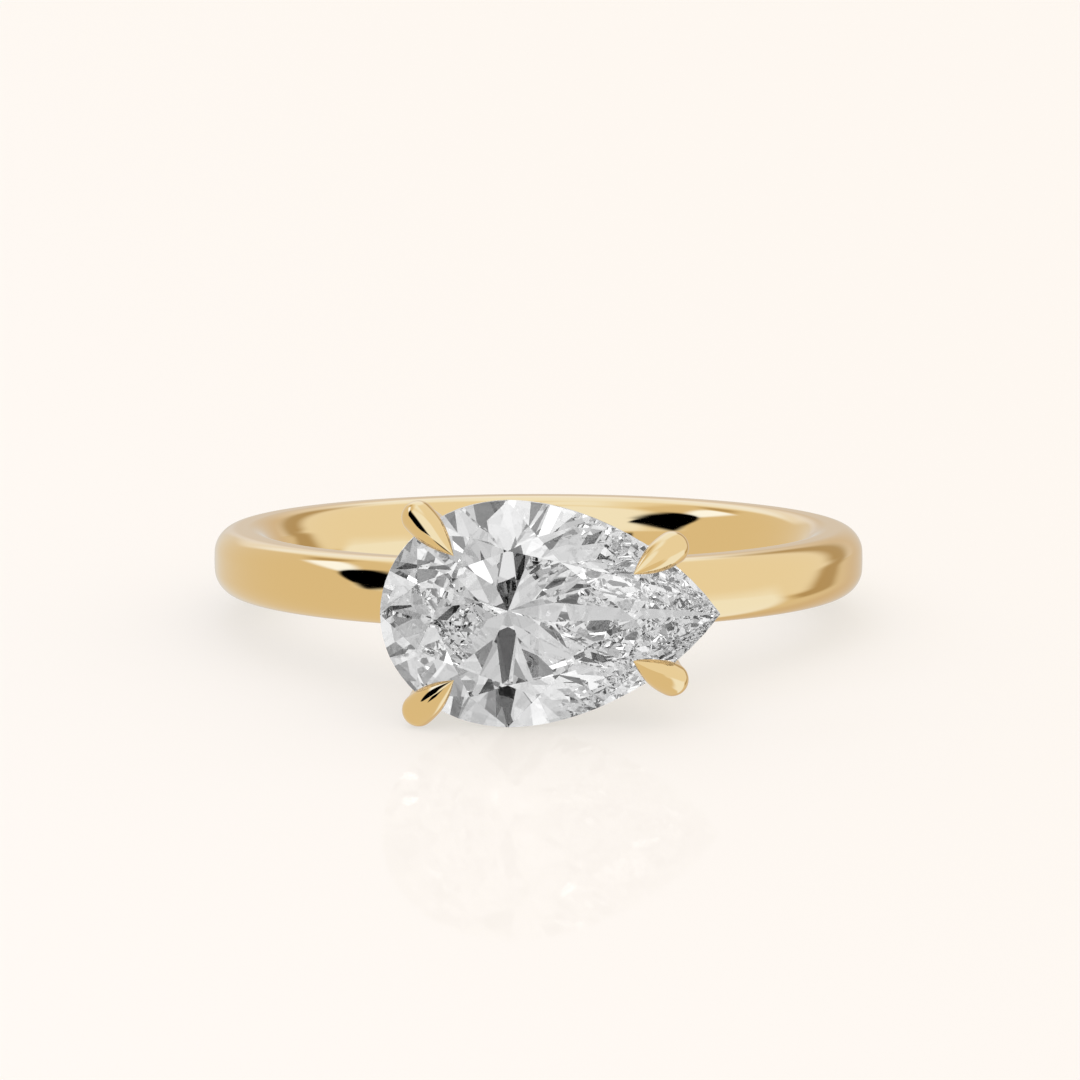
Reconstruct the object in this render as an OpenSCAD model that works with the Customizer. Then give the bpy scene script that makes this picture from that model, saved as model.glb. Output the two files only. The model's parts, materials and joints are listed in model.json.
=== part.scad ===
// East west ring: a pear-cut stone set across a plain band and held by four talon claws.
// The ring lies on its side. It touches the surface with the stone's lower edge and with
// the far side of the band, so the band leans back by a few degrees.

/* [Band] */
// Inside diameter of the band, where the finger goes
finger_d = 16.5; // [15:0.1:20]
// Wall of the band, from the inside to the outside
band_t = 1.75; // [1.5:0.05:2.4]
// Width of the band along the finger
band_w = 2; // [1.6:0.1:3]
// Radius of the band's softened edges
band_edge = 0.7; // [0.3:0.05:0.8]

/* [Stone] */
// Length of the stone from its round end to its point
stone_len = 9.67; // [8.5:0.05:11]
// Width of the stone at its widest place
stone_w = 6.49; // [5.6:0.05:7.4]
// Distance from the round end to the widest place, under which the culet lies
round_len = 3.63; // [3:0.05:4.2]
// Fullness of the two sides that run to the point
wing_fullness = 0.33; // [0.1:0.01:0.5]
// Height of the crown above the girdle
crown_h = 0.92; // [0.7:0.02:1.2]
// Depth of the pavilion below the girdle
pavilion_d = 2.8; // [2.4:0.05:3.1]
// Thickness of the girdle
girdle_t = 0.24; // [0.2:0.01:0.4]
// Share of the stone's outline that the table takes
table_share = 0.59; // [0.5:0.01:0.66]
// Share of the crown's height at which the star facets end
star_share = 0.72; // [0.6:0.01:0.8]
// Share of the pavilion's depth that the lower girdle facets reach
lower_share = 0.78; // [0.65:0.01:0.85]
// How far the stone's middle stands off the band's middle, towards the point
stone_shift = 0.33; // [0:0.01:0.6]

/* [Head] */
// Height of the girdle above the outside of the band
head_rise = 3.7; // [3.5:0.05:4.6]
// Diameter of a claw's bulb, where it bends over the girdle
bulb_d = 0.96; // [0.8:0.02:1.2]
// Diameter of a claw's wire just under the bulb
wire_d = 0.88; // [0.7:0.02:1.1]
// Diameter of a claw's wire at its foot
foot_d = 0.76; // [0.6:0.02:1]
// How far a bulb's centre stands outside the girdle
claw_out = 0.34; // [0.25:0.01:0.45]
// Inward lean of the claws towards the band, in degrees
claw_lean = 16; // [8:1:20]
// Place of the two claws at the round end, in degrees round from the point
round_claw_angle = 130; // [115:1:145]
// Place of the two claws near the point, as a share of the side's length
point_claw_share = 0.74; // [0.6:0.01:0.8]
// Length of the talons at the round end, from the bulb's centre to the tip
round_talon = 1.72; // [1.3:0.02:2]
// Length of the talons near the point, from the bulb's centre to the tip
point_talon = 1.57; // [1.2:0.02:1.8]
// Distance from the band's middle to the places that the talons point at
talon_aim = 0.57; // [0:0.01:1]
// Bluntness of the talons: a larger value keeps them full for longer
talon_fullness = 1.2; // [1:0.05:1.8]
// Thickness of the gallery rail that joins the claws' feet
rail_t = 0.6; // [0.5:0.05:0.9]
// How far the rail's top lies below the top of the band
rail_lap = 0.2; // [0.1:0.05:0.5]
// How far the rail is sunk into the band where it crosses it
rail_bite = 0.25; // [0.2:0.05:0.4]
// Gap between the stone and the seats cut in the claws
seat_gap = 0.03; // [0.02:0.01:0.08]

/* [Hidden] */
gold = "#dcb878";
clear_white = "#e6e8ec";
stone_opacity = 0.6;

// Band
round_steps = 128;
edge_steps = 48;
outer_r = finger_d / 2 + band_t;
// Largest edge radius, as a share of the band's thinner side
edge_limit = 0.45;
edge_r = min(band_edge, edge_limit * min(band_t, band_w));
edge_ring_r = outer_r - edge_r;
edge_z = band_w / 2 - edge_r;

// Stone, drawn with the culet's axis at x = 0, the point towards +x and the table up
half_w = stone_w / 2;
wing_len = stone_len - round_len;
culet_x = stone_shift + round_len - stone_len / 2;
mains = 8;
stations = 2 * mains;
half_turn = stations / 2;
quarter = stations / 4;
steps_per_station = 4;
outline_steps = stations * steps_per_station;
main_step = 2 * steps_per_station;
// Stations along a side, from the point to the widest place, as shares of the side
side_stations = [[0, 1], [1, 0.72], [2, 0.42], [3, 0.2], [4, 0]];
// Part of a station over which the outline's direction is measured
nudge = 0.01;

// Head, drawn with the girdle's middle at z = 0
girdle_r = outer_r + head_rise;
crown_slope = atan2(crown_h, half_w * (1 - table_share));
rail_top = -head_rise - rail_lap;
point_half_angle = atan2(2 * (1 + wing_fullness) * half_w, wing_len);
lean_slope = tan(claw_lean);
// Steps along a talon, and degrees between the steps round the back of its bulb
talon_steps = 10;
bulb_step = 15;
// A claw's foot is a ball this much wider than its wire, which rounds off the joint
foot_swell = 1.04;
// Inset of the rail's middle line from the girdle's outline, on the line of the claws
rail_reach = head_rise + rail_lap + rail_bite;
rail_inset = lean_slope * rail_reach - claw_out;
rail_end_x = culet_x + wing_len - rail_inset / sin(point_half_angle) + rail_t / 2;
// The band's outside falls away from its top by this much where the rail's end crosses it
band_fall = outer_r - sqrt(pow(outer_r, 2) - pow(rail_end_x, 2));
rail_h = band_fall + rail_bite - rail_lap;
foot_z = rail_top - rail_h / 2;

// Rest: the far edge of the band and the lower edge of the stone or claws touch the surface
round_claw = [round_point(round_claw_angle, 0), unit(round_normal(round_claw_angle))];
point_claw = [side_point(point_claw_share, 0), unit(side_normal(point_claw_share))];
claw_drop = round_claw[0].y + round_claw[1].y * claw_out;
rest_tilt = max(
    tilt_on(girdle_r - girdle_t / 2, half_w, 0),
    tilt_on(girdle_r, claw_drop, bulb_d / 2));
rest_lift = edge_ring_r * sin(rest_tilt) + edge_z * cos(rest_tilt) + edge_r;
far_reach = edge_ring_r * cos(rest_tilt) + edge_z * sin(rest_tilt) + edge_r;
near_reach = (girdle_r + girdle_t / 2 + crown_h) * cos(rest_tilt)
    + table_share * half_w * sin(rest_tilt);
rest_shift = (near_reach - far_reach) / 2;

// Tilt at which a support touches the surface together with the band's far edge
function tilt_on(reach, drop, support_r) =
    asin((support_r - edge_r) / norm([reach + edge_ring_r, drop - edge_z]))
    + atan2(drop - edge_z, reach + edge_ring_r);

function unit(v) = v / norm(v);

// Girdle outline: half an ellipse round the culet, then two full sides to the point
function round_point(angle, grow) =
    [(round_len + grow) * cos(angle), (half_w + grow) * sin(angle)];
function round_normal(angle) = [half_w * cos(angle), round_len * sin(angle)];
function side_point(share, grow) =
    [(wing_len + grow) * share,
     (half_w + grow) * (1 - pow(share, 2)) * (1 + wing_fullness * pow(share, 4))];
function side_slope(share) =
    half_w / wing_len * (4 * wing_fullness * pow(share, 3) * (1 - pow(share, 2))
    - 2 * share * (1 + wing_fullness * pow(share, 4)));
function side_normal(share) = [-side_slope(share), 1];

// A station counts from 0 at the point, anticlockwise, to half_turn at the round end
function girdle_point(station, grow) =
    station < 0 ? mirrored(girdle_point(-station, grow))
    : station > half_turn ? mirrored(girdle_point(stations - station, grow))
    : station > quarter ? round_point(90 * station / quarter, grow)
    : side_point(lookup(station, side_stations), grow);
function mirrored(p) = [p.x, -p.y];
function girdle_normal(station) =
    let (step = girdle_point(station + nudge, 0) - girdle_point(station - nudge, 0))
    unit([step.y, -step.x]);

// Facet planes of two neighbouring mains cross here, at a share of their distance out
function ridge_point(main, share, grow) =
    let (first = 2 * main, second = 2 * main + 2)
    let (n = girdle_normal(first), m = girdle_normal(second % stations))
    let (d = share * (girdle_point(first, grow) * n))
    let (e = share * (girdle_point(second % stations, grow) * m))
    [d * m.y - e * n.y, e * n.x - d * m.x] / (n.x * m.y - n.y * m.x);

// How far a point of the outline lies outside the chord of its girdle facet, as a
// share of the way back to the facet's inner corner
function bow(p, from, to, inner) = cross(to - from, p - from) / cross(to - from, inner - from);

// Corners of the cut: outline points of one edge of the girdle, raised or lowered so
// that each girdle facet stays flat
function girdle_edge(grow, level, inner_share, inner_level) = [
    for (step = [0 : outline_steps - 1])
    let (side = floor(step / steps_per_station))
    let (from = girdle_point(side, grow), to = girdle_point(side + 1, grow))
    let (p = girdle_point(step / steps_per_station, grow))
    let (inner = ridge_point(floor(side / 2), inner_share, grow))
    let (rise = (inner_level - level) * bow(p, from, to, inner))
    [p.x, p.y, level + rise]];
function ridge_ring(grow, share, level) = [
    for (main = [0 : mains - 1])
    let (p = ridge_point(main, share, grow))
    [p.x, p.y, level]];
function table_ring(grow, level) = [
    for (main = [0 : mains - 1])
    let (p = table_share * girdle_point(2 * main, grow))
    [p.x, p.y, level]];

// Pear brilliant cut with a table, 8 stars, 8 kites, 16 upper and 16 lower girdle
// facets and 8 pavilion mains. grow makes it larger all round, for cutting its seats.
module pear_cut(grow = 0) {
    top = girdle_t / 2 + grow;
    crown = crown_h + grow;
    pavilion = pavilion_d + grow;
    star_ring = 1 - (1 - table_share) * star_share;
    lower_ring = 1 - lower_share;
    star_level = top + crown * star_share;
    lower_level = -top - pavilion * lower_share;
    upper = girdle_edge(grow, top, star_ring, star_level);
    lower = girdle_edge(grow, -top, lower_ring, lower_level);
    corners = concat(
        upper,
        lower,
        table_ring(grow, top + crown),
        ridge_ring(grow, star_ring, star_level),
        ridge_ring(grow, lower_ring, lower_level),
        [[0, 0, -top - pavilion]]);
    lower_at = outline_steps;
    table_at = 2 * outline_steps;
    star_at = table_at + mains;
    ridge_at = star_at + mains;
    culet_at = ridge_at + mains;
    table_facet = [[for (main = [0 : mains - 1]) table_at + main]];
    star_facets = [
        for (main = [0 : mains - 1])
        [table_at + (main + 1) % mains, table_at + main, star_at + main]];
    kite_facets = [
        for (main = [0 : mains - 1])
        [table_at + main, star_at + (main + mains - 1) % mains, main * main_step, star_at + main]];
    upper_facets = [
        for (side = [0 : stations - 1])
        concat(
            [star_at + floor(side / 2)],
            [for (step = [0 : steps_per_station])
                (side * steps_per_station + step) % outline_steps])];
    girdle_facets = [
        for (step = [0 : outline_steps - 1])
        let (next = (step + 1) % outline_steps)
        [step, lower_at + step, lower_at + next, next]];
    lower_facets = [
        for (side = [0 : stations - 1])
        concat(
            [for (step = [0 : steps_per_station])
                lower_at + (side * steps_per_station + steps_per_station - step) % outline_steps],
            [ridge_at + floor(side / 2)])];
    main_facets = [
        for (main = [0 : mains - 1])
        [culet_at, ridge_at + main, lower_at + main * main_step,
         ridge_at + (main + mains - 1) % mains]];
    facets = concat(
        table_facet, star_facets, kite_facets, upper_facets,
        girdle_facets, lower_facets, main_facets);
    // The corners above run anticlockwise seen from outside
    polyhedron(corners, [for (facet = facets) [for (i = [len(facet) - 1 : -1 : 0]) facet[i]]]);
}

// Places: the ring laid on its side, and the head on the front of the band
module laid_down() {
    translate([0, rest_shift, rest_lift]) rotate([-rest_tilt, 0, 0]) children();
}

module on_head() {
    rotate([90, 0, 0]) translate([0, 0, girdle_r]) children();
}

module on_culet() {
    translate([culet_x, 0, 0]) children();
}

// Plain band with soft edges and a straight inside wall
module band() {
    rotate_extrude($fn = round_steps) {
        translate([outer_r - band_t + edge_r, -band_w / 2])
            square([band_t - 2 * edge_r, band_w]);
        translate([outer_r - band_t, -edge_z])
            square([band_t, 2 * edge_z]);
        for (r = [outer_r - band_t + edge_r, edge_ring_r], z = [-edge_z, edge_z])
            translate([r, z]) circle(r = edge_r, $fn = edge_steps);
    }
}

// Teardrop with its bulb at the origin and its tip at z = reach
module talon(reach) {
    bulb_r = bulb_d / 2;
    back = [for (a = [-90 : bulb_step : -bulb_step]) bulb_r * [cos(a), sin(a)]];
    body = [
        for (step = [0 : talon_steps - 1])
        let (share = step / talon_steps)
        [bulb_r * cos(90 * pow(share, talon_fullness)), reach * share]];
    rotate_extrude($fn = edge_steps) polygon(concat(back, body, [[0, reach]]));
}

// One claw: a wire from the rail up to the girdle, then a talon over the crown
module claw(seat, reach, aim_x) {
    bulb = seat[0] + seat[1] * claw_out;
    aim = unit([aim_x - bulb.x, -bulb.y]);
    foot = bulb + seat[1] * lean_slope * foot_z;
    shaft = [foot.x - bulb.x, foot.y - bulb.y, foot_z];
    translate([bulb.x, bulb.y, 0]) {
        rotate([0, 90 - crown_slope, atan2(aim.y, aim.x)]) talon(reach);
        rotate([0, acos(shaft.z / norm(shaft)), atan2(shaft.y, shaft.x)])
            cylinder(h = norm(shaft), d1 = wire_d, d2 = foot_d, $fn = edge_steps);
    }
    translate([foot.x, foot.y, foot_z]) sphere(d = foot_d * foot_swell, $fn = edge_steps);
}

// Outline of the gallery rail: the girdle's outline moved inwards by an inset
function rail_outline(inset) =
    let (half = [
        for (step = [1 : outline_steps / 2 - 1])
        let (s = step / steps_per_station)
        let (p = girdle_point(s, 0) - girdle_normal(s) * inset)
        if (p.y > 0 && p.x < wing_len - inset / sin(point_half_angle)) p])
    concat(
        [[wing_len - inset / sin(point_half_angle), 0]],
        half,
        [[inset - round_len, 0]],
        [for (i = [len(half) - 1 : -1 : 0]) mirrored(half[i])]);

module gallery_rail() {
    inset = -claw_out - lean_slope * foot_z;
    translate([0, 0, rail_top - rail_h]) linear_extrude(rail_h) difference() {
        polygon(rail_outline(inset - rail_t / 2));
        polygon(rail_outline(inset + rail_t / 2));
    }
}

module basket() {
    aims = [-talon_aim - culet_x, talon_aim - culet_x];
    for (side = [0, 1]) mirror([0, side, 0]) {
        claw(round_claw, round_talon, aims[0]);
        claw(point_claw, point_talon, aims[1]);
    }
    gallery_rail();
}

// Band, rail and claws are one casting, with seats cut where the claws hold the stone
module mounting() {
    color(gold) laid_down() difference() {
        union() {
            band();
            on_head() on_culet() basket();
        }
        on_head() on_culet() pear_cut(seat_gap);
    }
}

module pear_stone() {
    color(clear_white, stone_opacity) laid_down() on_head() on_culet() pear_cut();
}

mounting();
pear_stone();
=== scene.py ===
"""Looks of an east west ring: a pear-cut diamond set across a plain gold band.

The ring lies on its side on a pale light table, where the stone's lower edge and the far side of
the band carry it. Everything is in metres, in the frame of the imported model.
"""

import json
import logging
import math
from dataclasses import dataclass, field, replace
from enum import Enum
from typing import Any, Iterator

import bpy
from bpy.types import ID, Material, Mesh, Node, NodeSocket, NodeTree, Object, World
from mathutils import Matrix, Vector


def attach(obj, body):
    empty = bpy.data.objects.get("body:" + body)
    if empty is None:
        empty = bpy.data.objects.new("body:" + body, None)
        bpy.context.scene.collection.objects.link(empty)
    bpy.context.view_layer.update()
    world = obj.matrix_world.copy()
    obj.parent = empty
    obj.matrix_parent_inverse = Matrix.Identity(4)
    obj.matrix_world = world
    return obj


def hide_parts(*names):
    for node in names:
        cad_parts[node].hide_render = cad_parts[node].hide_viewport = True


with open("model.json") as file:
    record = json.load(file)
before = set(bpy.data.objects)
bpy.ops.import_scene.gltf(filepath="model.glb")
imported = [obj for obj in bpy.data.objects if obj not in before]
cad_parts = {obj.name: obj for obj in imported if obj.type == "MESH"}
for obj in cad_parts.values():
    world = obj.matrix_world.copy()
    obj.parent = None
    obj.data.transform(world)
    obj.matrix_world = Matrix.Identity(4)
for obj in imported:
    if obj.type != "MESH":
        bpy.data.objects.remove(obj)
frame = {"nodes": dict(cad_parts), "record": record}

log = logging.getLogger("east_west_ring")
MM = 0.001
WELD_DISTANCE = 0.001 * MM
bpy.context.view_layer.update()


# Small tools


def linear(hex_colour: str) -> tuple[float, float, float, float]:
    """Turns an sRGB colour into the linear light that shaders use.

    Args:
        hex_colour: The colour as six hex digits after a hash mark.

    Returns:
        Linear red, green, blue and an alpha of one.
    """
    shares = [int(hex_colour[i : i + 2], 16) / 255 for i in (1, 3, 5)]
    light = [s / 12.92 if s <= 0.04045 else ((s + 0.055) / 1.055) ** 2.4 for s in shares]
    return (light[0], light[1], light[2], 1.0)


def add_node(
    tree: NodeTree, kind: str, links: dict[str | int, Any] | None = None, **settings: Any
) -> Node:
    """Adds one node to a tree, with its settings, values and links.

    Args:
        tree: The tree that gets the node.
        kind: Blender's name of the node's type.
        links: For each input, by name or number, its value, the output that feeds it, the node
            whose first output does, or a list of such for an input that takes several.
        settings: The node's own properties.

    Returns:
        The new node.
    """
    node = tree.nodes.new(kind)
    for name, value in settings.items():
        setattr(node, name, value)
    for key, value in (links or {}).items():
        for feed in value if isinstance(value, list) else [value]:
            if isinstance(feed, Node):
                tree.links.new(feed.outputs[0], node.inputs[key])
            elif isinstance(feed, NodeSocket):
                tree.links.new(feed, node.inputs[key])
            else:
                node.inputs[key].default_value = feed
    return node


def empty_tree(owner: Material | World) -> NodeTree:
    """Gives a material or a world a tree with no nodes.

    Args:
        owner: The material or world.

    Returns:
        Its tree.
    """
    owner.use_nodes = True
    owner.node_tree.nodes.clear()
    return owner.node_tree


def link_to_scene(name: str, data: ID) -> Object:
    """Puts new data into the scene.

    Args:
        name: Name of the object.
        data: Its mesh or camera.

    Returns:
        The object, which sits at the origin.
    """
    thing = bpy.data.objects.new(name, data)
    bpy.context.scene.collection.objects.link(thing)
    return thing


def bake_modifiers(thing: Object) -> None:
    """Turns what an object's modifiers make into its plain mesh.

    Args:
        thing: The object, whose modifiers are removed.
    """
    depsgraph = bpy.context.evaluated_depsgraph_get()
    made = bpy.data.meshes.new_from_object(thing.evaluated_get(depsgraph))
    thing.modifiers.clear()
    thing.data = made


def keep_out_of_mirrors(thing: Object) -> None:
    """Leaves an object out of what shiny surfaces and the stone show.

    Args:
        thing: The object, which the camera still sees and which still casts shadows.
    """
    thing.visible_glossy = False
    thing.visible_transmission = False


class Fusion(Enum):
    """Ways in which one solid changes another."""

    JOIN = "UNION"
    CUT = "DIFFERENCE"


def fuse(base: Object, tool: Object, way: Fusion) -> None:
    """Joins a tool solid to a base solid or cuts it out, and removes the tool.

    Args:
        base: The solid that is changed.
        tool: The solid that changes it.
        way: Whether the tool is joined or cut out.
    """
    step = base.modifiers.new(way.name.lower(), "BOOLEAN")
    step.operation = way.value
    step.solver = "MANIFOLD"
    step.object = tool
    bake_modifiers(base)
    bpy.data.objects.remove(tool)


class ShapeTree:
    """A Geometry Nodes tree with named inputs, which makes one kind of shape."""

    def __init__(self, name: str) -> None:
        """Starts an empty tree.

        Args:
            name: Name of the tree, in the maker's words.
        """
        self.tree = bpy.data.node_groups.new(name, "GeometryNodeTree")
        self.tree.is_modifier = True
        self.names: dict[str, str] = {}
        for side in ("INPUT", "OUTPUT"):
            self.tree.interface.new_socket(
                "Geometry", in_out=side, socket_type="NodeSocketGeometry"
            )
        self.entry = self.tree.nodes.new("NodeGroupInput")
        self.metal = self.value("Metal", "NodeSocketMaterial")

    def value(self, name: str, kind: str = "NodeSocketFloat") -> NodeSocket:
        """Adds a named input.

        Args:
            name: Name of the input.
            kind: Blender's name of its type.

        Returns:
            The socket that carries it inside the tree.
        """
        socket = self.tree.interface.new_socket(name, in_out="INPUT", socket_type=kind)
        self.names[name] = socket.identifier
        return self.entry.outputs[name]

    def path(self) -> NodeSocket:
        """Returns the geometry of the object that the tree is put on."""
        return self.entry.outputs["Geometry"]

    def node(self, kind: str, links: dict[str | int, Any] | None = None, **settings: Any) -> Node:
        """Adds a node to the tree, as add_node does."""
        return add_node(self.tree, kind, links, **settings)

    def close(self, shape: Node) -> None:
        """Ends the tree with real geometry that is smooth and has the metal on it.

        Args:
            shape: The node with the finished shape.
        """
        smooth = self.node("GeometryNodeSetShadeSmooth", {"Geometry": shape})
        real = self.node("GeometryNodeRealizeInstances", {"Geometry": smooth})
        dressed = self.node("GeometryNodeSetMaterial", {"Geometry": real, "Material": self.metal})
        self.node("NodeGroupOutput", {"Geometry": dressed})

    def make(self, name: str, values: dict[str, Any], path: Mesh | None = None) -> Object:
        """Makes a plain mesh object with this tree.

        Args:
            name: Name of the object.
            values: A value for each named input.
            path: The mesh that the shape follows, if it follows one.

        Returns:
            The object, with no modifier left on it.
        """
        thing = link_to_scene(name, path or bpy.data.meshes.new(name))
        step = thing.modifiers.new(self.tree.name, "NODES")
        step.node_group = self.tree
        for key, value in values.items():
            step[self.names[key]] = value
        bake_modifiers(thing)
        return thing


# Finishes


@dataclass(frozen=True)
class PolishedGold:
    """18 carat yellow gold, cast and mirror-polished.

    The eye sees an almost perfect mirror with a warm straw colour that fades to white where the
    surface turns away. Polishing leaves broad soft waves and hairlines too fine to see singly,
    which only soften the reflections a little. Cloud is how the hairlines vary over the surface.
    """

    colour: str = "#f3cb89"
    roughness_low: float = 0.015
    roughness_high: float = 0.05
    cloud_mm: float = 1.6
    cloud_low: float = 0.3
    cloud_high: float = 0.7
    cloud_detail: float = 3.0
    wave_mm: float = 2.2
    wave_height_mm: float = 0.0006

    def build(self) -> Material:
        """Makes the material.

        Returns:
            The gold.
        """
        material = bpy.data.materials.new("gold_18ct_mirror_polished")
        tree = empty_tree(material)
        place = add_node(tree, "ShaderNodeTexCoord").outputs["Object"]
        cloud = add_node(
            tree,
            "ShaderNodeTexNoise",
            {"Vector": place, "Scale": 1 / (self.cloud_mm * MM), "Detail": self.cloud_detail},
        )
        softness = add_node(
            tree,
            "ShaderNodeMapRange",
            {
                "Value": cloud,
                "From Min": self.cloud_low,
                "From Max": self.cloud_high,
                "To Min": self.roughness_low,
                "To Max": self.roughness_high,
            },
        )
        wave = add_node(
            tree,
            "ShaderNodeTexNoise",
            {"Vector": place, "Scale": 1 / (self.wave_mm * MM), "Detail": 0.0},
        )
        relief = add_node(
            tree,
            "ShaderNodeBump",
            {"Height": wave, "Distance": self.wave_height_mm * MM, "Strength": 1.0},
        )
        shader = add_node(
            tree,
            "ShaderNodeBsdfPrincipled",
            {
                "Base Color": linear(self.colour),
                "Metallic": 1.0,
                "Roughness": softness,
                "Normal": relief,
            },
        )
        add_node(tree, "ShaderNodeOutputMaterial", {"Surface": shader})
        return material


@dataclass(frozen=True)
class CutDiamond:
    """Colourless diamond, cut and polished flat on every facet.

    Its high index turns nearly all light back inside, so the eye sees a patchwork of white, grey
    and black facets rather than what lies behind.
    """

    colour: str = "#fdfdfd"
    ior: float = 2.417

    def build(self) -> Material:
        """Makes the material.

        Returns:
            The diamond.
        """
        material = bpy.data.materials.new("diamond_polished")
        tree = empty_tree(material)
        shader = add_node(
            tree,
            "ShaderNodeBsdfPrincipled",
            {
                "Base Color": linear(self.colour),
                "Roughness": 0.0,
                "IOR": self.ior,
                "Transmission Weight": 1.0,
            },
        )
        add_node(tree, "ShaderNodeOutputMaterial", {"Surface": shader})
        return material


@dataclass(frozen=True)
class OpalAcrylic:
    """Opal acrylic sheet of a light table, lit from below.

    It glows evenly in cream, so shadows on it stay faint, and its smooth face gives a weak mirror
    image of what stands on it.
    """

    glow_colour: str = "#fffaf1"
    glow: float = 0.688
    sheet_colour: str = "#a59481"
    gloss: float = 0.06
    gloss_roughness: float = 0.03

    def build(self) -> Material:
        """Makes the material.

        Returns:
            The acrylic.
        """
        material = bpy.data.materials.new("opal_acrylic_backlit")
        tree = empty_tree(material)
        lamp = add_node(
            tree, "ShaderNodeEmission", {"Color": linear(self.glow_colour), "Strength": self.glow}
        )
        sheet = add_node(tree, "ShaderNodeBsdfDiffuse", {"Color": linear(self.sheet_colour)})
        lit = add_node(tree, "ShaderNodeAddShader", {0: lamp, 1: sheet})
        face = add_node(
            tree,
            "ShaderNodeBsdfGlossy",
            {"Color": linear("#ffffff"), "Roughness": self.gloss_roughness},
        )
        blend = add_node(tree, "ShaderNodeMixShader", {0: self.gloss, 1: lit, 2: face})
        add_node(tree, "ShaderNodeOutputMaterial", {"Surface": blend})
        return material


# The ring


@dataclass(frozen=True)
class RestingPlace:
    """Where the finger hole's middle lies, how its axis leans and how wide it is."""

    centre: Vector
    axis: Vector
    radius: float

    @classmethod
    def from_record(cls, record: dict[str, Any]) -> "RestingPlace":
        """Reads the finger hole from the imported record.

        Args:
            record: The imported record.

        Returns:
            The place of the hole.
        """
        hole = next(m for m in record["mounts"] if m["name"] == "finger_hole")
        return cls(Vector(hole["pos_m"]), Vector(hole["axis"]), hole["dims"]["r_mm"] * MM)

    @property
    def ring_matrix(self) -> Matrix:
        """Matrix that takes the ring, with its axis along Z, to where it lies."""
        lean = math.atan2(self.axis.y, self.axis.z)
        return Matrix.Translation(self.centre) @ Matrix.Rotation(-lean, 4, "X")

    def head_matrix(self, girdle_radius: float, culet_x: float) -> Matrix:
        """Takes the head, whose stone faces up along Z, to the front of the band.

        Args:
            girdle_radius: Distance from the band's axis to the middle of the stone's girdle.
            culet_x: Place of the culet's axis across the finger.

        Returns:
            The matrix from the culet's frame to the scene.
        """
        to_front = Matrix.Rotation(math.pi / 2, 4, "X")
        rise = Matrix.Translation((culet_x, 0, girdle_radius))
        return self.ring_matrix @ to_front @ rise


@dataclass(frozen=True)
class PearOutline:
    """Outline of the stone's girdle: half an ellipse round the culet, then two full sides.

    Round length reaches from the culet to the round end, and fullness swells the sides near the
    point.
    """

    length: float = 9.67 * MM
    width: float = 6.49 * MM
    round_length: float = 3.63 * MM
    fullness: float = 0.33

    @property
    def half_width(self) -> float:
        """Half of the stone's width."""
        return self.width / 2

    @property
    def wing_length(self) -> float:
        """Distance from the widest place to the point."""
        return self.length - self.round_length

    def round_end(self, angle: float) -> tuple[Vector, Vector]:
        """Point and outward direction on the round end.

        Args:
            angle: Angle round the culet from the point, in radians.

        Returns:
            The point and its unit normal, in the plane of the girdle.
        """
        cosine, sine = math.cos(angle), math.sin(angle)
        point = Vector((self.round_length * cosine, self.half_width * sine, 0))
        normal = Vector((self.half_width * cosine, self.round_length * sine, 0))
        return point, normal.normalized()

    def side(self, share: float) -> tuple[Vector, Vector]:
        """Point and outward direction on a side.

        Args:
            share: Place along the side, from 0 at the widest place to 1 at the point.

        Returns:
            The point and its unit normal, in the plane of the girdle.
        """
        swell = 1 + self.fullness * share**4
        taper = 1 - share**2
        slope = 4 * self.fullness * share**3 * taper - 2 * share * swell
        point = Vector((self.wing_length * share, self.half_width * taper * swell, 0))
        normal = Vector((-slope * self.half_width / self.wing_length, 1, 0))
        return point, normal.normalized()

    def inset_loop(self, inset: float, steps: int) -> list[Vector]:
        """The outline moved inwards, anticlockwise from the point.

        Args:
            inset: How far it is moved inwards.
            steps: Points on each of the four stretches.

        Returns:
            The corners of the closed loop.
        """
        _, tip_normal = self.side(1)
        tip = Vector((self.wing_length - inset / tip_normal.x, 0, 0))
        places = [self.side(1 - i / steps) for i in range(1, steps)]
        places += [self.round_end(math.pi / 2 * (1 + i / steps)) for i in range(steps)]
        half = [p - n * inset for p, n in places]
        half = [p for p in half if p.y > 0 and p.x < tip.x]
        back = Vector((inset - self.round_length, 0, 0))
        return [tip, *half, back, *(Vector((p.x, -p.y, 0)) for p in reversed(half))]


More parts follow.
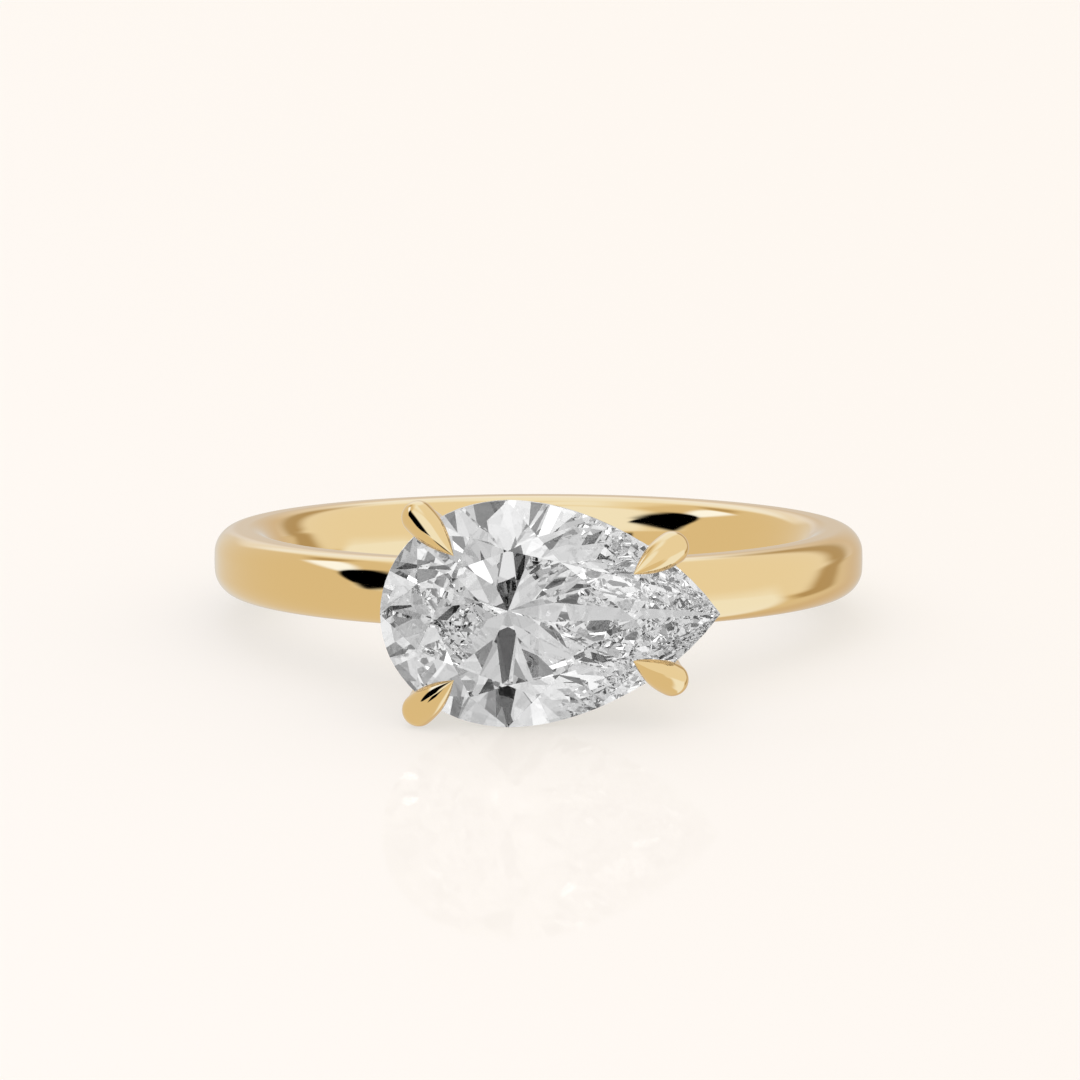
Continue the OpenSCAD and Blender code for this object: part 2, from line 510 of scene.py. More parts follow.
@dataclass(frozen=True)
class Band:
    """Plain band with soft edges and straight walls, which polishing has domed a little.

    Turns counts the steps round the finger, edge steps those round each soft edge, and grain is
    how far apart the points on the section are.
    """

    inside_radius: float
    wall: float = 1.75 * MM
    width: float = 2.0 * MM
    edge_radius: float = 0.7 * MM
    dome: float = 0.04 * MM
    turns: int = 288
    edge_steps: int = 24
    grain: float = 0.06 * MM

    @property
    def outside_radius(self) -> float:
        """Distance from the axis to the outside of the band."""
        return self.inside_radius + self.wall

    def build(self, place: RestingPlace, metal: Material) -> Object:
        """Sweeps the band's section round the finger.

        Args:
            place: Where the ring lies.
            metal: The gold.

        Returns:
            The band as a plain mesh.
        """
        shape = ShapeTree("band_sweep")
        radius = shape.value("Middle Radius")
        wall, width = shape.value("Wall"), shape.value("Width")
        edge, step = shape.value("Edge Radius"), shape.value("Section Step")
        dome = shape.value("Dome")
        section = shape.node(
            "GeometryNodeCurvePrimitiveQuadrilateral", {"Width": wall, "Height": width}
        )
        soft = shape.node(
            "GeometryNodeFilletCurve",
            {"Curve": section, "Radius": edge, "Count": self.edge_steps},
            mode="POLY",
        )
        even = shape.node(
            "GeometryNodeResampleCurve", {"Curve": soft, "Length": step}, mode="LENGTH"
        )

        # The dome follows a cosine over the width, so a highlight crosses the wall at a slant
        spot = shape.node("ShaderNodeSeparateXYZ", {0: shape.node("GeometryNodeInputPosition")})
        across, along = spot.outputs["X"], spot.outputs["Y"]
        share = shape.node("ShaderNodeMath", {0: along, 1: width}, operation="DIVIDE")
        turn = shape.node("ShaderNodeMath", {0: share, 1: 2 * math.pi}, operation="MULTIPLY")
        crest = shape.node("ShaderNodeMath", {0: turn}, operation="COSINE")
        fall = shape.node("ShaderNodeMath", {0: 1.0, 1: crest}, operation="SUBTRACT")
        depth = shape.node("ShaderNodeMath", {0: dome, 1: wall}, operation="DIVIDE")
        polished_off = shape.node("ShaderNodeMath", {0: depth, 1: fall}, operation="MULTIPLY")
        left = shape.node("ShaderNodeMath", {0: 1.0, 1: polished_off}, operation="SUBTRACT")
        thinned = shape.node("ShaderNodeMath", {0: across, 1: left}, operation="MULTIPLY")
        drawn_in = shape.node("ShaderNodeCombineXYZ", {"X": thinned, "Y": along})
        domed = shape.node("GeometryNodeSetPosition", {"Geometry": even, "Position": drawn_in})
        circle = shape.node(
            "GeometryNodeCurvePrimitiveCircle", {"Resolution": self.turns, "Radius": radius}
        )
        level = shape.node("GeometryNodeSetCurveNormal", {"Curve": circle}, mode="Z_UP")
        sweep = shape.node("GeometryNodeCurveToMesh", {"Curve": level, "Profile Curve": domed})
        shape.close(sweep)
        band = shape.make(
            "band",
            {
                "Metal": metal,
                "Middle Radius": self.inside_radius + self.wall / 2,
                "Wall": self.wall,
                "Width": self.width,
                "Edge Radius": self.edge_radius,
                "Section Step": self.grain,
                "Dome": self.dome,
            },
        )
        band.data.transform(place.ring_matrix)
        return band


@dataclass(frozen=True)
class ClawPlace:
    """One claw: where it holds the stone and how its talon lies.

    Reach is the talon's length, and aim x is where its point looks on the stone's long axis.
    """

    name: str
    hold: Vector
    outward: Vector
    reach: float
    aim_x: float

    def mirrored(self) -> "ClawPlace":
        """Mirrors the claw.

        Returns:
            The same claw on the stone's lower side.
        """
        flip = Vector((1, -1, 1))
        name = self.name.replace("upper", "lower")
        return replace(self, name=name, hold=self.hold * flip, outward=self.outward * flip)


@dataclass(frozen=True)
class Basket:
    """Gallery rail and four talon claws, which carry the stone on the band.

    Stone shift is how far the stone's middle lies from the band's, towards the point, and head
    rise is the girdle's height over the band. Claw out is how far each claw's bulb stands
    outside the girdle, and talon aim how far from the band's middle the talons' points look.
    Rail lap is how deep the rail's top lies in the band's crest, and rail bite how deep its
    bottom reaches into the band at its end.
    """

    outline: PearOutline = field(default_factory=PearOutline)
    stone_shift: float = 0.33 * MM
    head_rise: float = 3.7 * MM
    crown_height: float = 0.92 * MM
    table_share: float = 0.59
    bulb_radius: float = 0.48 * MM
    wire_radius: float = 0.44 * MM
    foot_radius: float = 0.38 * MM
    foot_swell: float = 1.04
    claw_out: float = 0.34 * MM
    lean: float = math.radians(16)
    round_claw_angle: float = math.radians(130)
    point_claw_share: float = 0.74
    round_talon: float = 1.72 * MM
    point_talon: float = 1.57 * MM
    talon_aim: float = 0.57 * MM
    talon_fullness: float = 1.2
    rail_width: float = 0.6 * MM
    rail_lap: float = 0.2 * MM
    rail_bite: float = 0.25 * MM
    rail_edge: float = 0.16 * MM
    tip_bend: float = 0.3 * MM
    seat_gap: float = 0.03 * MM
    talon_rings: int = 81
    steps_behind_bulb: float = 0.3
    claw_sides: int = 64
    wire_rings: int = 12
    heel_sides: int = 48
    heel_rings: int = 24
    rail_corners: int = 16
    rail_steps: int = 180
    rail_edge_steps: int = 8

    @property
    def culet_x(self) -> float:
        """Place of the culet's axis across the finger."""
        return self.stone_shift + self.outline.round_length - self.outline.length / 2

    def rail_levels(self, band_radius: float) -> tuple[float, float]:
        """Top and height of the rail, which reaches down round the band at its far end.

        Args:
            band_radius: Outside radius of the band.

        Returns:
            Level of the rail's top and its height, from the middle of the girdle.
        """
        depth = self.head_rise + self.rail_lap + self.rail_bite
        inset = math.tan(self.lean) * depth - self.claw_out
        _, tip_normal = self.outline.side(1)
        end_x = self.culet_x + self.outline.wing_length - inset / tip_normal.x + self.rail_width / 2
        fall = band_radius - math.sqrt(band_radius**2 - end_x**2)
        return -self.head_rise - self.rail_lap, fall + self.rail_bite - self.rail_lap

    def claws(self) -> Iterator[ClawPlace]:
        """Places the four claws.

        Yields:
            Each claw of the upper side, followed by its mirror image on the lower side.
        """
        round_end = self.outline.round_end(self.round_claw_angle)
        side = self.outline.side(self.point_claw_share)
        for name, (hold, outward), reach, aim in (
            ("claw_round_upper", round_end, self.round_talon, -self.talon_aim),
            ("claw_point_upper", side, self.point_talon, self.talon_aim),
        ):
            upper = ClawPlace(name, hold, outward, reach, aim - self.culet_x)
            yield upper
            yield upper.mirrored()

    def claw_tree(self) -> ShapeTree:
        """Makes the tree for a claw: wire, foot, bulb and talon as one solid.

        Returns:
            The tree, whose inputs place and size one claw.
        """
        shape = ShapeTree("talon_claw")
        bulb = shape.value("Bulb", "NodeSocketVector")
        foot = shape.value("Foot", "NodeSocketVector")
        aim = shape.value("Talon Direction", "NodeSocketVector")
        reach, radius = shape.value("Talon Length"), shape.value("Bulb Radius")
        fullness, back = shape.value("Fullness"), shape.value("Share Of Steps Behind Bulb")
        wire, base = shape.value("Wire Radius"), shape.value("Foot Radius")
        swell = shape.value("Foot Swell")

        # A talon's radius follows a cosine, which is full at the bulb and runs out in a point
        spine = shape.node(
            "GeometryNodeResampleCurve",
            {"Curve": shape.node("GeometryNodeCurvePrimitiveLine"), "Count": self.talon_rings},
            mode="COUNT",
        )
        ring, last = shape.node("GeometryNodeInputIndex"), float(self.talon_rings - 1)
        step = shape.node("ShaderNodeMath", {0: ring, 1: last}, operation="DIVIDE")
        in_front = shape.node("ShaderNodeMath", {0: step, 1: back}, operation="GREATER_THAN")

        # Behind the bulb's middle it is half a ball
        gone = shape.node("ShaderNodeMath", {0: step, 1: back}, operation="DIVIDE")
        quarter = shape.node("ShaderNodeMath", {0: gone, 1: math.pi / 2}, operation="MULTIPLY")
        sine = shape.node("ShaderNodeMath", {0: quarter}, operation="SINE")
        cosine = shape.node("ShaderNodeMath", {0: quarter}, operation="COSINE")
        rear = shape.node("ShaderNodeMath", {0: radius, 1: -1.0}, operation="MULTIPLY")
        behind_z = shape.node("ShaderNodeMath", {0: rear, 1: cosine}, operation="MULTIPLY")
        behind_r = shape.node("ShaderNodeMath", {0: radius, 1: sine}, operation="MULTIPLY")

        # In front of it the talon narrows over its length
        past = shape.node("ShaderNodeMath", {0: step, 1: back}, operation="SUBTRACT")
        room = shape.node("ShaderNodeMath", {0: 1.0, 1: back}, operation="SUBTRACT")
        ahead = shape.node("ShaderNodeMath", {0: past, 1: room}, operation="DIVIDE")
        share = shape.node("ShaderNodeMath", {0: ahead, 1: 0.0}, operation="MAXIMUM")
        eased = shape.node("ShaderNodeMath", {0: share, 1: fullness}, operation="POWER")
        turned = shape.node("ShaderNodeMath", {0: eased, 1: math.pi / 2}, operation="MULTIPLY")
        slim = shape.node("ShaderNodeMath", {0: turned}, operation="COSINE")
        ahead_z = shape.node("ShaderNodeMath", {0: reach, 1: ahead}, operation="MULTIPLY")
        ahead_r = shape.node("ShaderNodeMath", {0: radius, 1: slim}, operation="MULTIPLY")
        along = shape.node("ShaderNodeMix", {"Factor": in_front, "A": behind_z, "B": ahead_z})
        across = shape.node("ShaderNodeMix", {"Factor": in_front, "A": behind_r, "B": ahead_r})
        spot = shape.node("ShaderNodeCombineXYZ", {"Z": along})
        placed = shape.node("GeometryNodeSetPosition", {"Geometry": spine, "Position": spot})
        rim = shape.node(
            "GeometryNodeCurvePrimitiveCircle", {"Resolution": self.claw_sides, "Radius": 1.0}
        )
        skin = shape.node(
            "GeometryNodeCurveToMesh", {"Curve": placed, "Profile Curve": rim, "Scale": across}
        )
        closed = shape.node(
            "GeometryNodeMergeByDistance", {"Geometry": skin, "Distance": WELD_DISTANCE}
        )
        turn = shape.node("FunctionNodeAlignRotationToVector", {"Vector": aim}, axis="Z")
        talon = shape.node(
            "GeometryNodeTransform", {"Geometry": closed, "Translation": bulb, "Rotation": turn}
        )

        # The wire stands on the rail and tapers a little towards its foot
        line = shape.node("ShaderNodeVectorMath", {0: bulb, 1: foot}, operation="SUBTRACT")
        height = shape.node("ShaderNodeVectorMath", {0: line}, operation="LENGTH")
        heel_radius = shape.node("ShaderNodeMath", {0: base, 1: swell}, operation="MULTIPLY")
        stem = shape.node(
            "GeometryNodeMeshCone",
            {
                "Vertices": self.claw_sides,
                "Side Segments": self.wire_rings,
                "Radius Top": wire,
                "Radius Bottom": base,
                "Depth": height.outputs["Value"],
            },
        )
        stand = shape.node("FunctionNodeAlignRotationToVector", {"Vector": line}, axis="Z")
        shaft = shape.node(
            "GeometryNodeTransform", {"Geometry": stem, "Translation": foot, "Rotation": stand}
        )
        ball = shape.node(
            "GeometryNodeMeshUVSphere",
            {"Segments": self.heel_sides, "Rings": self.heel_rings, "Radius": heel_radius},
        )
        heel = shape.node("GeometryNodeTransform", {"Geometry": ball, "Translation": foot})
        whole = shape.node(
            "GeometryNodeMeshBoolean",
            {1: [talon, shaft, heel]},
            operation="UNION",
            solver="MANIFOLD",
        )
        shape.close(whole)
        return shape

    def rail_tree(self) -> ShapeTree:
        """Makes the tree for the gallery rail: a soft-edged section along a closed path.

        Returns:
            The tree, whose inputs size the section and bend the path's corner.
        """
        shape = ShapeTree("gallery_rail_sweep")
        width, height = shape.value("Width"), shape.value("Height")
        edge, bend = shape.value("Edge Radius"), shape.value("Tip Bend")
        route = shape.node("GeometryNodeMeshToCurve", {"Mesh": shape.path()})
        bent = shape.node(
            "GeometryNodeFilletCurve",
            {"Curve": route, "Radius": bend, "Limit Radius": True, "Count": self.rail_edge_steps},
            mode="POLY",
        )
        even = shape.node(
            "GeometryNodeResampleCurve", {"Curve": bent, "Count": self.rail_steps}, mode="COUNT"
        )
        level = shape.node("GeometryNodeSetCurveNormal", {"Curve": even}, mode="Z_UP")
        section = shape.node(
            "GeometryNodeCurvePrimitiveQuadrilateral", {"Width": width, "Height": height}
        )
        soft = shape.node(
            "GeometryNodeFilletCurve",
            {"Curve": section, "Radius": edge, "Count": self.rail_edge_steps},
            mode="POLY",
        )
        sweep = shape.node("GeometryNodeCurveToMesh", {"Curve": level, "Profile Curve": soft})
        shape.close(sweep)
        return shape

    def build_rail(self, band_radius: float, metal: Material) -> Object:
        """Sweeps the rail along the stone's outline, under the claws' feet.

        Args:
            band_radius: Outside radius of the band.
            metal: The gold.

        Returns:
            The rail, in the culet's frame.
        """
        top, height = self.rail_levels(band_radius)
        middle = top - height / 2
        inset = -self.claw_out - math.tan(self.lean) * middle
        corners = self.outline.inset_loop(inset, self.rail_corners)
        path = bpy.data.meshes.new("gallery_rail_path")
        count = len(corners)
        path.from_pydata(
            [(p.x, p.y, middle) for p in corners],
            [(i, (i + 1) % count) for i in range(count)],
            [],
        )
        values = {
            "Metal": metal,
            "Width": self.rail_width,
            "Height": height,
            "Edge Radius": self.rail_edge,
            "Tip Bend": self.tip_bend,
        }
        return self.rail_tree().make("gallery_rail", values, path)

    def build_claws(self, band_radius: float, metal: Material) -> list[Object]:
        """Makes the four claws.

        Args:
            band_radius: Outside radius of the band.
            metal: The gold.

        Returns:
            One solid for each claw, in the culet's frame.
        """
        top, height = self.rail_levels(band_radius)
        foot_z = top - height / 2
        dip = math.atan2(self.crown_height, self.outline.half_width * (1 - self.table_share))
        tree = self.claw_tree()
        claws = []
        for claw in self.claws():
            bulb = claw.hold + claw.outward * self.claw_out
            foot = bulb + claw.outward * math.tan(self.lean) * foot_z + Vector((0, 0, foot_z))
            level = Vector((claw.aim_x - bulb.x, -bulb.y, 0)).normalized()
            values = {
                "Metal": metal,
                "Bulb": bulb,
                "Foot": foot,
                "Talon Direction": level * math.cos(dip) + Vector((0, 0, math.sin(dip))),
                "Talon Length": claw.reach,
                "Bulb Radius": self.bulb_radius,
                "Fullness": self.talon_fullness,
                "Share Of Steps Behind Bulb": self.steps_behind_bulb,
                "Wire Radius": self.wire_radius,
                "Foot Radius": self.foot_radius,
                "Foot Swell": self.foot_swell,
            }
            claws.append(tree.make(claw.name, values))
        return claws

    def seat_cutter(self, stone: Object, to_scene: Matrix) -> Object:
        """Copies the stone and lets it out by the seat's gap.

        Args:
            stone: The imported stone.
            to_scene: Matrix from the culet's frame to the scene.

        Returns:
            The solid that is cut out of the claws, in the culet's frame.
        """
        mesh = stone.data.copy()
        mesh.transform(to_scene.inverted())
        cutter = link_to_scene("seat_cutter", mesh)
        weld = cutter.modifiers.new("weld", "WELD")
        weld.merge_threshold = WELD_DISTANCE
        bake_modifiers(cutter)
        reach = Vector(max(abs(v.co[i]) for v in cutter.data.vertices) for i in range(3))
        grow = [1 + self.seat_gap / r for r in reach]
        cutter.data.transform(Matrix.Diagonal((*grow, 1)))
        return cutter

    def build(self, band: Band, place: RestingPlace, stone: Object, metal: Material) -> Object:
        """Makes the head and cuts the stone's seats in it.

        Args:
            band: The band that carries the head.
            place: Where the ring lies.
            stone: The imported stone.
            metal: The gold.

        Returns:
            The rail and claws as one solid, in the scene.
        """
        to_scene = place.head_matrix(band.outside_radius + self.head_rise, self.culet_x)
        head = self.build_rail(band.outside_radius, metal)
        for claw in self.build_claws(band.outside_radius, metal):
            log.info("%s has %d faces", claw.name, len(claw.data.polygons))
            fuse(head, claw, Fusion.JOIN)
        fuse(head, self.seat_cutter(stone, to_scene), Fusion.CUT)
        head.data.transform(to_scene)
        return head


@dataclass(frozen=True)
class Mounting:
    """The casting: band and basket fused into one piece of gold.

    The gold is left out of what it and the stone mirror, because each is lit for itself. Crease
    is the least angle that the light shows as an edge.
    """

    band: Band
    basket: Basket
    crease: float = math.radians(35)

    def build(self, place: RestingPlace, stone: Object, finish: PolishedGold) -> Object:
        """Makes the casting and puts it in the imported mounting's place.

        Args:
            place: Where the ring lies.
            stone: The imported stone, whose seats are cut.
            finish: The gold.

        Returns:
            The finished piece.
        """
        metal = finish.build()
        casting = self.band.build(place, metal)
        log.info("band has %d faces", len(casting.data.polygons))
        fuse(casting, self.basket.build(self.band, place, stone, metal), Fusion.JOIN)
        casting.name = "gold_casting"
        casting.data.polygons.foreach_set("use_smooth", [True] * len(casting.data.polygons))
        casting.data.set_sharp_from_angle(angle=self.crease)
        keep_out_of_mirrors(casting)
        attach(casting, "root")
        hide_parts("mounting")
        return casting


@dataclass(frozen=True)
class Stone:
    """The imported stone, dressed as a cut diamond."""

    node: Object

    def dress(self, finish: CutDiamond) -> None:
        """Gives the stone its material.

        Args:
            finish: The diamond.
        """
        self.node.data.materials.clear()
        self.node.data.materials.append(finish.build())


# The studio


class Glow(Enum):
    """Kinds of light in the studio: colour and brightness, dimmest first.

    The brighter a lamp, the cooler it is, so the gold pales where it shines most.
    """

    BLACK = ("#000000", 0.0)
    SHADE = ("#fff3d9", 0.50)
    DIM = ("#fff9ef", 0.70)
    GREY = ("#fcffff", 0.80)
    SKY = ("#deeaff", 1.23)
    CARD = ("#bfd4ff", 1.88)
    LAMP = ("#a6c0ff", 2.90)

    def colour(self) -> tuple[float, float, float, float]:
        """Works out the light that a shader takes.

        Returns:
            Linear red, green and blue times the brightness, and an alpha of one.
        """
        tint, light = self.value
        red, green, blue, _ = linear(tint)
        return (red * light, green * light, blue * light, 1.0)


@dataclass(frozen=True)
class Panel:
    """A soft box, card or black flag, far from the ring.

    Its corners are azimuths and elevations in degrees, as the ring sees them, in their order
    along the border. Azimuth 0 is where the camera stands and 90 is to the camera's right. Edge
    is how far the border fades, in degrees.
    """

    name: str
    glow: Glow
    edge: float
    corners: tuple[tuple[float, float], ...]

    def borders(self) -> list[Vector]:
        """Works out which side of each border is inside.

        Returns:
            For each border, the unit normal of its plane through the ring, pointing inwards.
        """
        rays = []
        for azimuth, elevation in self.corners:
            turn, rise = math.radians(azimuth), math.radians(elevation)
            level = math.cos(rise)
            rays.append(Vector((math.sin(turn) * level, -math.cos(turn) * level, math.sin(rise))))
        middle = sum(rays, Vector())
        lines = [ray.cross(rays[i - 1]).normalized() for i, ray in enumerate(rays)]
        return [line if line.dot(middle) > 0 else -line for line in lines]


@dataclass(frozen=True)
class Surround:
    """Light from all round: a plain dome, panels on it, a floor over them and panels over that.

    Horizon is the floor's edge, and horizon blur how far it fades up and down, in degrees.
    """

    behind: tuple[Panel, ...]
    in_front: tuple[Panel, ...]
    dome: Glow = Glow.SKY
    floor: Glow = Glow.GREY
    horizon: float = -3.0
    horizon_blur: float = 0.5


@dataclass(frozen=True)
class CardRing:
    """Upright cards in many greys, all round the stone, a few black and a few lit.

    Width and height are one card's, in degrees, and tones says how bright each share of the
    cards is. The seed deals the cards. Offset turns all by a share of a card, so that no border
    faces the stone's table.
    """

    width: float = 7.0
    height: float = 35.0
    seed: float = 13.0
    offset: float = 0.5
    tones: tuple[tuple[float, float], ...] = (
        (0.0, 0.0),
        (0.115, 0.01),
        (0.22, 0.25),
        (0.38, 0.61),
        (0.8, 0.82),
        (0.95, 1.1),
        (1.0, 3.0),
    )


@dataclass(frozen=True)
class Studio:
    """Light table and surrounding light.

    The gold and the stone are lit as in two exposures of one picture, as jewellers do it: broad
    cards for the metal, and narrow cards in many greys, which make the facets sparkle.
    """

    metal: Surround
    gem: CardRing
    backdrop: str = "#fef8f1"
    table_half: float = 2.0

    def build_world(self) -> None:
        """Makes the surroundings that the metal and the stone reflect.

        The camera itself sees only the plain backdrop.
        """
        world = bpy.data.worlds.new("studio")
        bpy.context.scene.world = world
        tree = empty_tree(world)
        toward = add_node(tree, "ShaderNodeTexCoord").outputs["Generated"]

        # Only the stone is perfectly smooth, so a singular ray always comes from it
        path = add_node(tree, "ShaderNodeLightPath")
        seen_by_metal, seen_by_gem, plain = (
            add_node(tree, "ShaderNodeBackground", {"Color": light})
            for light in (
                self.add_surround(tree, toward, self.metal),
                self.add_cards(tree, toward, self.gem),
                linear(self.backdrop),
            )
        )
        mirrored = add_node(
            tree,
            "ShaderNodeMixShader",
            {0: path.outputs["Is Singular Ray"], 1: seen_by_metal, 2: seen_by_gem},
        )
        shown = add_node(
            tree, "ShaderNodeMixShader", {0: path.outputs["Is Camera Ray"], 1: mirrored, 2: plain}
        )
        add_node(tree, "ShaderNodeOutputWorld", {"Surface": shown})

        # All of the light is broad, so no ray needs to be aimed at a part of it
        world.cycles.sampling_method = "NONE"

    def add_cards(self, tree: NodeTree, toward: NodeSocket, cards: CardRing) -> NodeSocket:
        """Adds the light from the ring of grey cards.

        Args:
            tree: The world's tree.
            toward: The direction that is looked in.
            cards: The cards.

        Returns:
            The light from the direction that is looked in.
        """
        axes = add_node(tree, "ShaderNodeSeparateXYZ", {0: toward})
        turn = add_node(
            tree,
            "ShaderNodeMath",
            {0: axes.outputs["X"], 1: axes.outputs["Y"]},
            operation="ARCTAN2",
        )
        rise = add_node(tree, "ShaderNodeMath", {0: axes.outputs["Z"]}, operation="ARCSINE")
        spot = add_node(
            tree,
            "ShaderNodeCombineXYZ",
            {
                axis: add_node(
                    tree,
                    "ShaderNodeMath",
                    {0: angle, 1: 1 / math.radians(span), 2: cards.offset},
                    operation="MULTIPLY_ADD",
                )
                for axis, angle, span in (("X", turn, cards.width), ("Y", rise, cards.height))
            },
        )
        card = add_node(tree, "ShaderNodeVectorMath", {0: spot}, operation="FLOOR")
        draw = add_node(
            tree,
            "ShaderNodeTexWhiteNoise",
            {"Vector": card, "W": cards.seed},
            noise_dimensions="4D",
        )
        tones = add_node(tree, "ShaderNodeValToRGB", {0: draw.outputs["Value"]})
        stops = tones.color_ramp.elements
        for share, tone in cards.tones:
            stop = stops[0] if share == 0 else stops[-1] if share == 1 else stops.new(share)
            stop.color = (tone, tone, tone, 1.0)
        return tones.outputs[0]

    def add_surround(self, tree: NodeTree, toward: NodeSocket, surround: Surround) -> NodeSocket:
        """Adds the light from all round.

        Args:
            tree: The world's tree.
            toward: The direction that is looked in.
            surround: What stands round the ring.

        Returns:
            The light from the direction that is looked in.
        """
        light: Any = surround.dome.colour()
        for panel in surround.behind:
            light = self.add_panel(tree, toward, light, panel)
        height = add_node(tree, "ShaderNodeSeparateXYZ", {0: toward}).outputs["Z"]
        above = add_node(
            tree,
            "ShaderNodeMapRange",
            {
                "Value": height,
                "From Min": math.sin(math.radians(surround.horizon - surround.horizon_blur)),
                "From Max": math.sin(math.radians(surround.horizon + surround.horizon_blur)),
            },
            interpolation_type="SMOOTHSTEP",
        )
        light = add_node(
            tree,
            "ShaderNodeMix",
            {"Factor": above, "A": surround.floor.colour(), "B": light},
            data_type="RGBA",
        ).outputs["Result"]
        for panel in surround.in_front:
            light = self.add_panel(tree, toward, light, panel)
        return light

    def add_panel(self, tree: NodeTree, toward: NodeSocket, light: Any, panel: Panel) -> NodeSocket:
        """Lays a flat panel with soft borders over the light so far.

        Args:
            tree: The world's tree.
            toward: The direction that is looked in.
            light: The light from it without the panel.
            panel: The panel.

        Returns:
            The light with the panel.
        """
        mask: Any = 1.0
        fade = math.sin(math.radians(panel.edge)) / 2
        for border in panel.borders():
            depth = add_node(
                tree, "ShaderNodeVectorMath", {0: toward, 1: border}, operation="DOT_PRODUCT"
            )
            inside = add_node(
                tree,
                "ShaderNodeMapRange",
                {"Value": depth.outputs["Value"], "From Min": -fade, "From Max": fade},
                interpolation_type="SMOOTHSTEP",
            )
            mask = add_node(tree, "ShaderNodeMath", {0: mask, 1: inside}, operation="MULTIPLY")
        laid = add_node(
            tree,
            "ShaderNodeMix",
            {"Factor": mask, "A": light, "B": panel.glow.colour()},
            data_type="RGBA",
            label=panel.name,
        )
        return laid.outputs["Result"]

    def build_table(self, finish: OpalAcrylic) -> None:
        """Lays the light table under the ring.

        Args:
            finish: The acrylic sheet.
        """
        half = self.table_half
        mesh = bpy.data.meshes.new("light_table")
        mesh.from_pydata(
            [(-half, -half, 0), (half, -half, 0), (half, half, 0), (-half, half, 0)],
            [],
            [(0, 1, 2, 3)],
        )
        mesh.materials.append(finish.build())
        table = link_to_scene("light_table", mesh)
        keep_out_of_mirrors(table)


# What the gold reflects: pale cards, a soft box and black flags, each laid over those before it.
# Those of the first group end at the floor's edge, and those of the second cover it.
CARDS_BEHIND = (
    Panel("back card", Glow.CARD, 12, ((150, 46), (170, 27), (-150, 22), (-146, 75), (150, 75))),
    Panel("overhead card", Glow.CARD, 14, ((-150, 66), (-60, 66), (0, 78), (120, 88), (-170, 80))),
    Panel("front-left card", Glow.CARD, 10, ((-46, -4), (4, -6), (8, 60), (-30, 72), (-64, 50))),
    Panel("left wall", Glow.GREY, 8, ((-154, -8), (-66, -8), (-70, 60), (-140, 56))),
    Panel("left wall, back", Glow.GREY, 8, ((-172, -8), (-140, -8), (-140, 17), (-168, 12))),
    Panel("soft box", Glow.LAMP, 6, ((-121, 37), (-80, 28), (-80, 38), (-102, 49), (-121, 48))),
    Panel("left gap", Glow.SHADE, 7, ((-139, 40), (-125, 40), (-125, 50), (-139, 50))),
    Panel(
        "left flag",
        Glow.BLACK,
        3,
        ((-62, -3.5), (-54, -1.5), (-40, 3), (-42, 8), (-56, 26), (-76, 41), (-84, 37), (-84, 30),
         (-69, 0.5)),
    ),
    Panel(
        "left flag, soft top",
        Glow.BLACK,
        10,
        ((-60, 4), (-48, 6), (-43, 14), (-52, 33), (-78, 46), (-86, 40), (-80, 24)),
    ),
)
CARDS_IN_FRONT = (
    Panel("back floor", Glow.DIM, 20, ((125, -30), (135, -60), (-170, -60), (-170, 10), (160, 26))),
    Panel("right floor", Glow.SKY, 10, ((46, 2), (46, -14), (116, -14), (126, 2))),
    Panel("low right card", Glow.CARD, 9, ((58, -8), (58, -60), (138, -60), (92, -9))),
    Panel(
        "right gap",
        Glow.SHADE,
        10,
        ((112, -9), (101, -20), (113, -30), (124, -20), (141, 0), (135, 6)),
    ),
    Panel("right gap, top", Glow.SHADE, 12, ((124, 4), (138, -4), (167, 26), (158, 40))),
    Panel("low front flag", Glow.BLACK, 2, ((-42, -4), (-22, -5), (-22, -22), (-40, -22))),
)


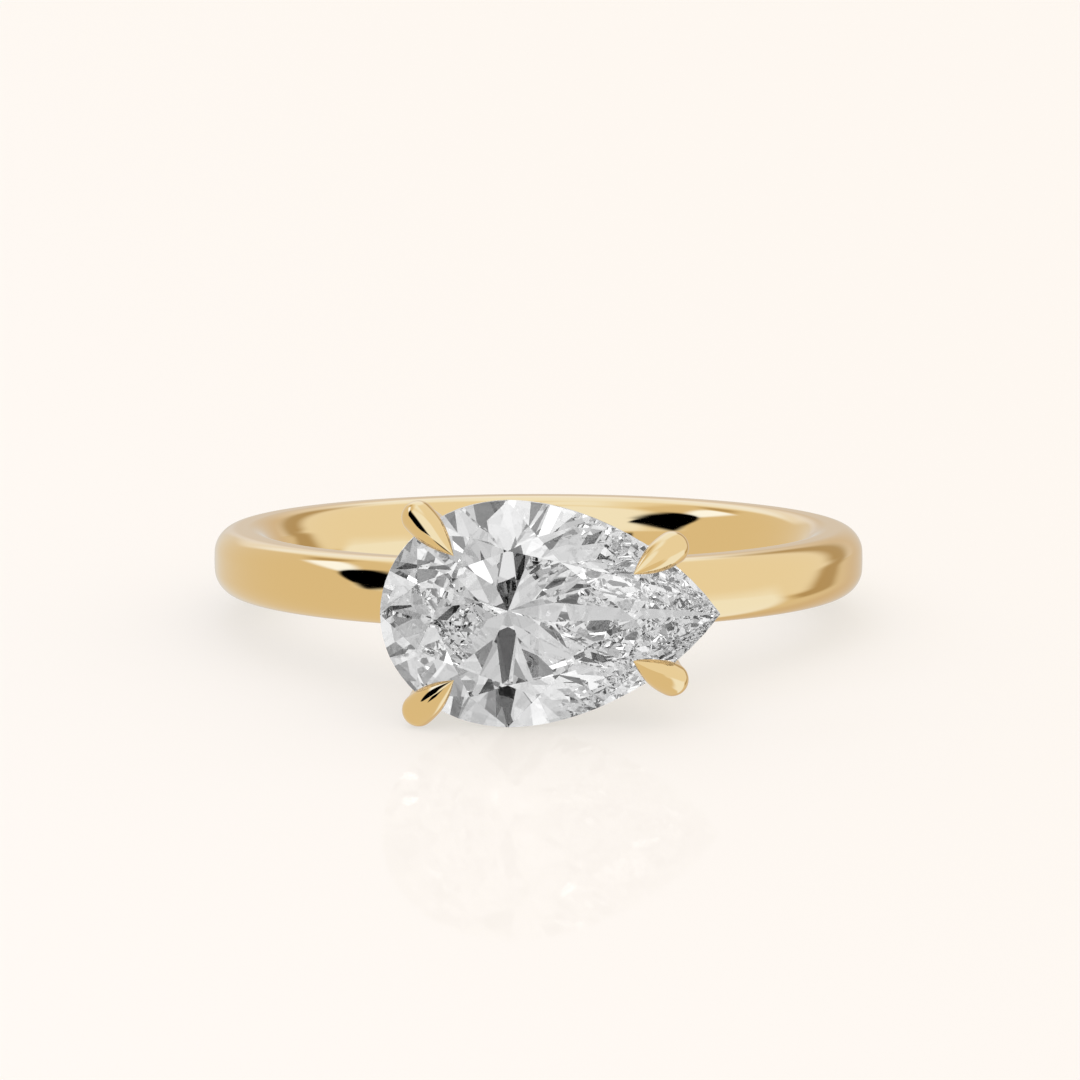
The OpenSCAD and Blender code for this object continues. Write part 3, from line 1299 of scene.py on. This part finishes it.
@dataclass(frozen=True)
class Viewpoint:
    """The camera, placed from the ring: it looks at the stone and slightly down on the band."""

    distance: float = 170.0 * MM
    elevation: float = math.radians(6.68)
    frame_px: float = 1080.0
    focal_px: float = 5498.6
    centre_px: tuple[float, float] = (538.5, 557.7)
    sensor_mm: float = 36.0
    nearest: float = 1.0 * MM
    farthest: float = 100.0

    def build(self, place: RestingPlace) -> None:
        """Puts the camera where the photo's was.

        Args:
            place: Where the ring lies.
        """
        data = bpy.data.cameras.new("camera")
        data.sensor_width = self.sensor_mm
        data.lens = self.focal_px / self.frame_px * self.sensor_mm
        data.clip_start, data.clip_end = self.nearest, self.farthest
        camera = link_to_scene("camera", data)
        sine, cosine = math.sin(self.elevation), math.cos(self.elevation)
        spot = Vector((0, -cosine, sine)) * self.distance
        ahead, up, right = Vector((0, cosine, -sine)), Vector((0, sine, cosine)), Vector((1, 0, 0))
        middle = self.frame_px / 2
        tip = math.atan((self.centre_px[1] - middle) / self.focal_px)
        turn = math.atan((middle - self.centre_px[0]) / self.focal_px)
        raised = ahead * math.cos(tip) + up * math.sin(tip)
        up = up * math.cos(tip) - ahead * math.sin(tip)
        facing = raised * math.cos(turn) + right * math.sin(turn)
        right = right * math.cos(turn) - raised * math.sin(turn)
        look = Matrix((right, up, -facing)).transposed().to_4x4()
        camera.matrix_world = place.ring_matrix @ Matrix.Translation(spot) @ look
        bpy.context.scene.camera = camera


def set_light_paths(stone_bounces: int = 32, all_bounces: int = 40) -> None:
    """Lets light bounce inside the stone nearly as often as in a real one, and keeps colours true.

    Args:
        stone_bounces: Most times that light turns back inside the stone or passes its surface.
        all_bounces: Most bounces of every kind together.
    """
    scene = bpy.context.scene
    scene.cycles.max_bounces = all_bounces
    scene.cycles.glossy_bounces = stone_bounces
    scene.cycles.transmission_bounces = stone_bounces
    scene.cycles.caustics_reflective = False
    scene.cycles.caustics_refractive = False
    scene.view_settings.view_transform = "Standard"


def main() -> None:
    """Builds the ring and its studio."""
    logging.basicConfig(level=logging.INFO, format="%(message)s")
    place = RestingPlace.from_record(frame["record"])
    stone = frame["nodes"]["pear_stone"]
    casting = Mounting(Band(place.radius), Basket()).build(place, stone, PolishedGold())
    log.info("gold casting has %d faces", len(casting.data.polygons))
    Stone(stone).dress(CutDiamond())
    log.info("pear stone has %d faces", len(stone.data.polygons))
    studio = Studio(Surround(CARDS_BEHIND, CARDS_IN_FRONT), CardRing())
    studio.build_world()
    studio.build_table(OpalAcrylic())
    log.info("studio has %d cards and flags", len(CARDS_BEHIND + CARDS_IN_FRONT))
    Viewpoint().build(place)
    set_light_paths()


if __name__ == "__main__":
    main()
